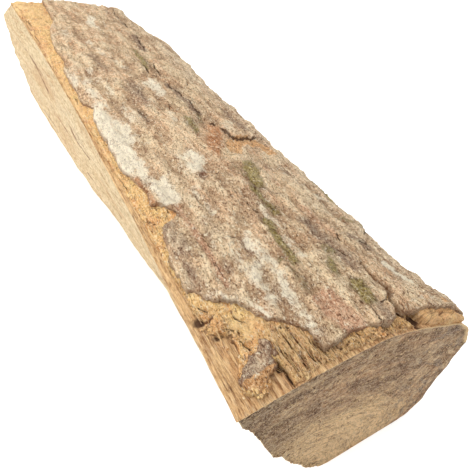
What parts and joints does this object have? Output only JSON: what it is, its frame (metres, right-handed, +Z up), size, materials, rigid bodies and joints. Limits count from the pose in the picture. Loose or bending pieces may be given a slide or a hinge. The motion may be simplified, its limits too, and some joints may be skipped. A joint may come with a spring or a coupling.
{
  "type": "split log",
  "caption": "Split firewood log, a wedge of a round stem lying on its narrow split face, with torn bark over its curved side and sawn ends.",
  "frame": {"origin": "on the floor under the middle of the log's box", "axes": "+Y along the log, from the saw cut that the picture shows to the hidden one; +Z up; +X towards the thick bark shoulder"},
  "size_m": [0.123, 0.4, 0.1062],
  "materials": {
    "wood": "dry, rough split and sawn wood",
    "inner_bark": "fibrous tan inner bark, matt",
    "outer_bark": "weathered grey-brown bark with pale lichen, matt"
  },
  "bodies": {
    "root": {"wood": "wood", "inner_bark": "inner_bark", "outer_bark": "outer_bark", "side_plate": "outer_bark", "bark_flake": "outer_bark"}
  },
  "joints": []
}
